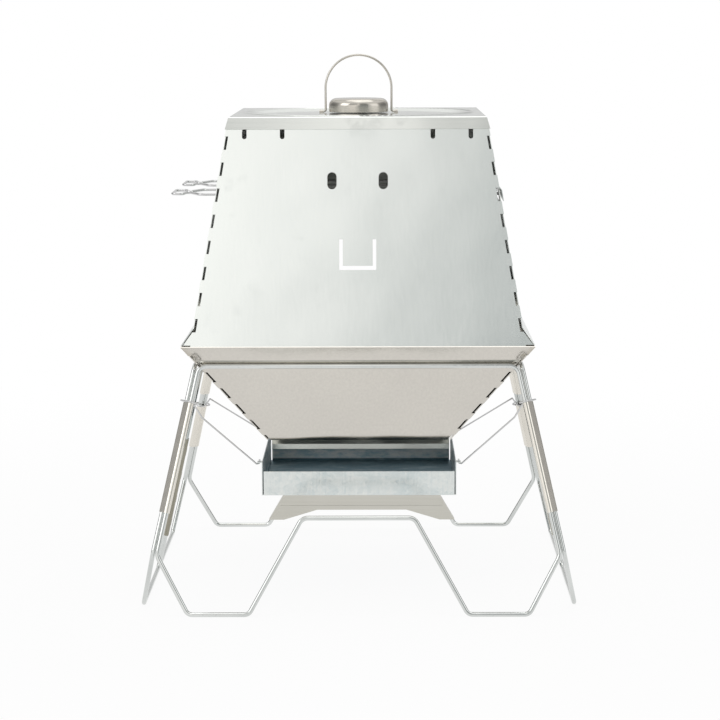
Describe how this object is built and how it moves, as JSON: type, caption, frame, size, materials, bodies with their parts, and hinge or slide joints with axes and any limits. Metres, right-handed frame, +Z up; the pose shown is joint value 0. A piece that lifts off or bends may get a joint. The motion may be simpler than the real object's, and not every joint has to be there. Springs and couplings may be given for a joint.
{
  "type": "portable fire pit",
  "caption": "Collapsible fire pit: a folding wire stand carries a sheet steel bowl with grate, a removable hood with cover and vent cap, and a hanging ash tray.",
  "frame": {"origin": "on the ground under the middle of the stand", "axes": "+Z up, -Y towards the front with the slit and the two vents, +X to the right"},
  "size_m": [0.465, 0.465, 0.5827],
  "materials": {
    "stand_wire": "bright plated round wire",
    "corner_sleeves": "satin stainless sheet",
    "middle_sleeves": "satin stainless sheet, darkened",
    "heat_shield": "satin stainless sheet",
    "bowl_steel": "smooth bright stainless sheet",
    "grate_steel": "slotted stainless plate",
    "hood_steel": "brushed stainless sheet",
    "rack_wire": "bright round wire",
    "cover_steel": "satin stainless sheet",
    "vent_cap_steel": "polished spun sheet",
    "bail_wire": "bright round wire",
    "tray_steel": "galvanised sheet",
    "hanger_wire": "thin plated wire"
  },
  "bodies": {
    "stand_front": {"front_frame": "stand_wire", "front_left_sleeve": "corner_sleeves", "front_right_sleeve": "corner_sleeves"},
    "left_front": {"left_front_half_frame": "stand_wire", "left_mid_sleeve": "middle_sleeves"},
    "left_rear": {"left_rear_half_frame": "stand_wire"},
    "right_front": {"right_front_half_frame": "stand_wire", "right_mid_sleeve": "middle_sleeves"},
    "right_rear": {"right_rear_half_frame": "stand_wire"},
    "stand_rear": {"rear_frame": "stand_wire", "rear_left_lower_sleeve": "corner_sleeves", "rear_left_upper_sleeve": "corner_sleeves", "rear_right_lower_sleeve": "corner_sleeves", "rear_right_upper_sleeve": "corner_sleeves", "rear_heat_shield": "heat_shield"},
    "bowl": {"bowl_front_panel": "bowl_steel", "bowl_right_panel": "bowl_steel", "bowl_rear_panel": "bowl_steel", "bowl_left_panel": "bowl_steel", "fire_grate": "grate_steel"},
    "hood": {"hood_front_panel": "hood_steel", "hood_right_panel": "hood_steel", "hood_rear_panel": "hood_steel", "hood_left_panel": "hood_steel"},
    "front_rack": {"front_rack_wire": "rack_wire"},
    "rear_rack": {"rear_rack_wire": "rack_wire"},
    "cover": {"cover": "cover_steel", "cap_rivet": "vent_cap_steel", "left_bail_clip": "bail_wire", "right_bail_clip": "bail_wire"},
    "vent_cap": {"vent_cap": "vent_cap_steel"},
    "bail": {"bail": "bail_wire"},
    "tray": {"ash_tray": "tray_steel"},
    "front_left_hanger": {"front_left_tray_hanger": "hanger_wire"},
    "front_right_hanger": {"front_right_tray_hanger": "hanger_wire"},
    "rear_left_hanger": {"rear_left_tray_hanger": "hanger_wire"},
    "rear_right_hanger": {"rear_right_tray_hanger": "hanger_wire"}
  },
  "joints": [
    {"name": "bowl_lift", "type": "slide", "parent": "stand_front", "child": "bowl", "axis": [0, 0, 1], "range_m": [0, 0.5]},
    {"name": "left_front_fold", "type": "hinge", "parent": "stand_front", "child": "left_front", "pos_m": [-0.23056, -0.2258, 0], "axis": [-0.2132, -0.2132, -0.9535], "range_deg": [0, 60.5]},
    {"name": "left_middle_fold", "type": "hinge", "parent": "left_front", "child": "left_rear", "pos_m": [-0.23056, 0.00336, 0], "axis": [0.2182, 0, 0.9759], "range_deg": [0, 119.5]},
    {"name": "rear_fold", "type": "hinge", "parent": "left_rear", "child": "stand_rear", "pos_m": [-0.23056, 0.2258, 0], "axis": [-0.2132, 0.2132, -0.9535], "range_deg": [0, 63.5]},
    {"name": "right_front_fold", "type": "hinge", "parent": "stand_front", "child": "right_front", "pos_m": [0.23056, -0.2258, 0], "axis": [-0.2132, 0.2132, 0.9535], "range_deg": [0, 60.5]},
    {"name": "right_middle_fold", "type": "hinge", "parent": "right_front", "child": "right_rear", "pos_m": [0.23056, 0.00336, 0], "axis": [0.2182, 0, -0.9759], "range_deg": [0, 119.5]},
    {"name": "tray_lift", "type": "slide", "parent": "stand_front", "child": "tray", "axis": [0, 0, 1], "range_m": [0, 0.501]},
    {"name": "hood_lift", "type": "slide", "parent": "bowl", "child": "hood", "axis": [0, 0, 1], "range_m": [0, 0.3]},
    {"name": "front_rack_slide", "type": "slide", "parent": "hood", "child": "front_rack", "axis": [-1, 0, 0], "range_m": [0, 0.3]},
    {"name": "rear_rack_slide", "type": "slide", "parent": "hood", "child": "rear_rack", "axis": [-1, 0, 0], "range_m": [0, 0.3]},
    {"name": "cover_lift", "type": "slide", "parent": "hood", "child": "cover", "axis": [0, 0, 1], "range_m": [0, 0.15]},
    {"name": "cap_turn", "type": "hinge", "parent": "cover", "child": "vent_cap", "pos_m": [0, 0, 0.51765], "axis": [0, 0, 1], "continuous": true},
    {"name": "bail_swing", "type": "hinge", "parent": "cover", "child": "bail", "pos_m": [0, 0, 0.51916], "axis": [1, 0, 0], "range_deg": [-90, 90]},
    {"name": "front_left_hanger_swing", "type": "hinge", "parent": "stand_front", "child": "front_left_hanger", "pos_m": [-0.17528, -0.17528, 0.219], "axis": [-0.7071, 0.7071, 0], "range_deg": [0, 30.5]},
    {"name": "front_right_hanger_swing", "type": "hinge", "parent": "stand_front", "child": "front_right_hanger", "pos_m": [0.17528, -0.17528, 0.219], "axis": [-0.7071, -0.7071, 0], "range_deg": [0, 30.5]},
    {"name": "rear_left_hanger_swing", "type": "hinge", "parent": "stand_rear", "child": "rear_left_hanger", "pos_m": [-0.18892, 0.18892, 0.158], "axis": [0.7071, 0.7071, 0], "range_deg": [0, 30.5]},
    {"name": "rear_right_hanger_swing", "type": "hinge", "parent": "stand_rear", "child": "rear_right_hanger", "pos_m": [0.18892, 0.18892, 0.158], "axis": [0.7071, -0.7071, 0], "range_deg": [0, 30.5]}
  ],
  "couplings": [
    {"joint": "left_front_fold", "follows": "bowl_lift", "rad_per_m": 2.0944},
    {"joint": "right_front_fold", "follows": "bowl_lift", "rad_per_m": 2.0944},
    {"joint": "left_middle_fold", "follows": "bowl_lift", "rad_per_m": 4.1547},
    {"joint": "right_middle_fold", "follows": "bowl_lift", "rad_per_m": 4.1547},
    {"joint": "rear_fold", "follows": "bowl_lift", "rad_per_m": 2.1943},
    {"joint": "tray_lift", "follows": "bowl_lift", "ratio": 1},
    {"joint": "front_left_hanger_swing", "follows": "bowl_lift", "rad_per_m": 1.0472},
    {"joint": "front_right_hanger_swing", "follows": "bowl_lift", "rad_per_m": 1.0472},
    {"joint": "rear_left_hanger_swing", "follows": "bowl_lift", "rad_per_m": 1.0472},
    {"joint": "rear_right_hanger_swing", "follows": "bowl_lift", "rad_per_m": 1.0472}
  ]
}
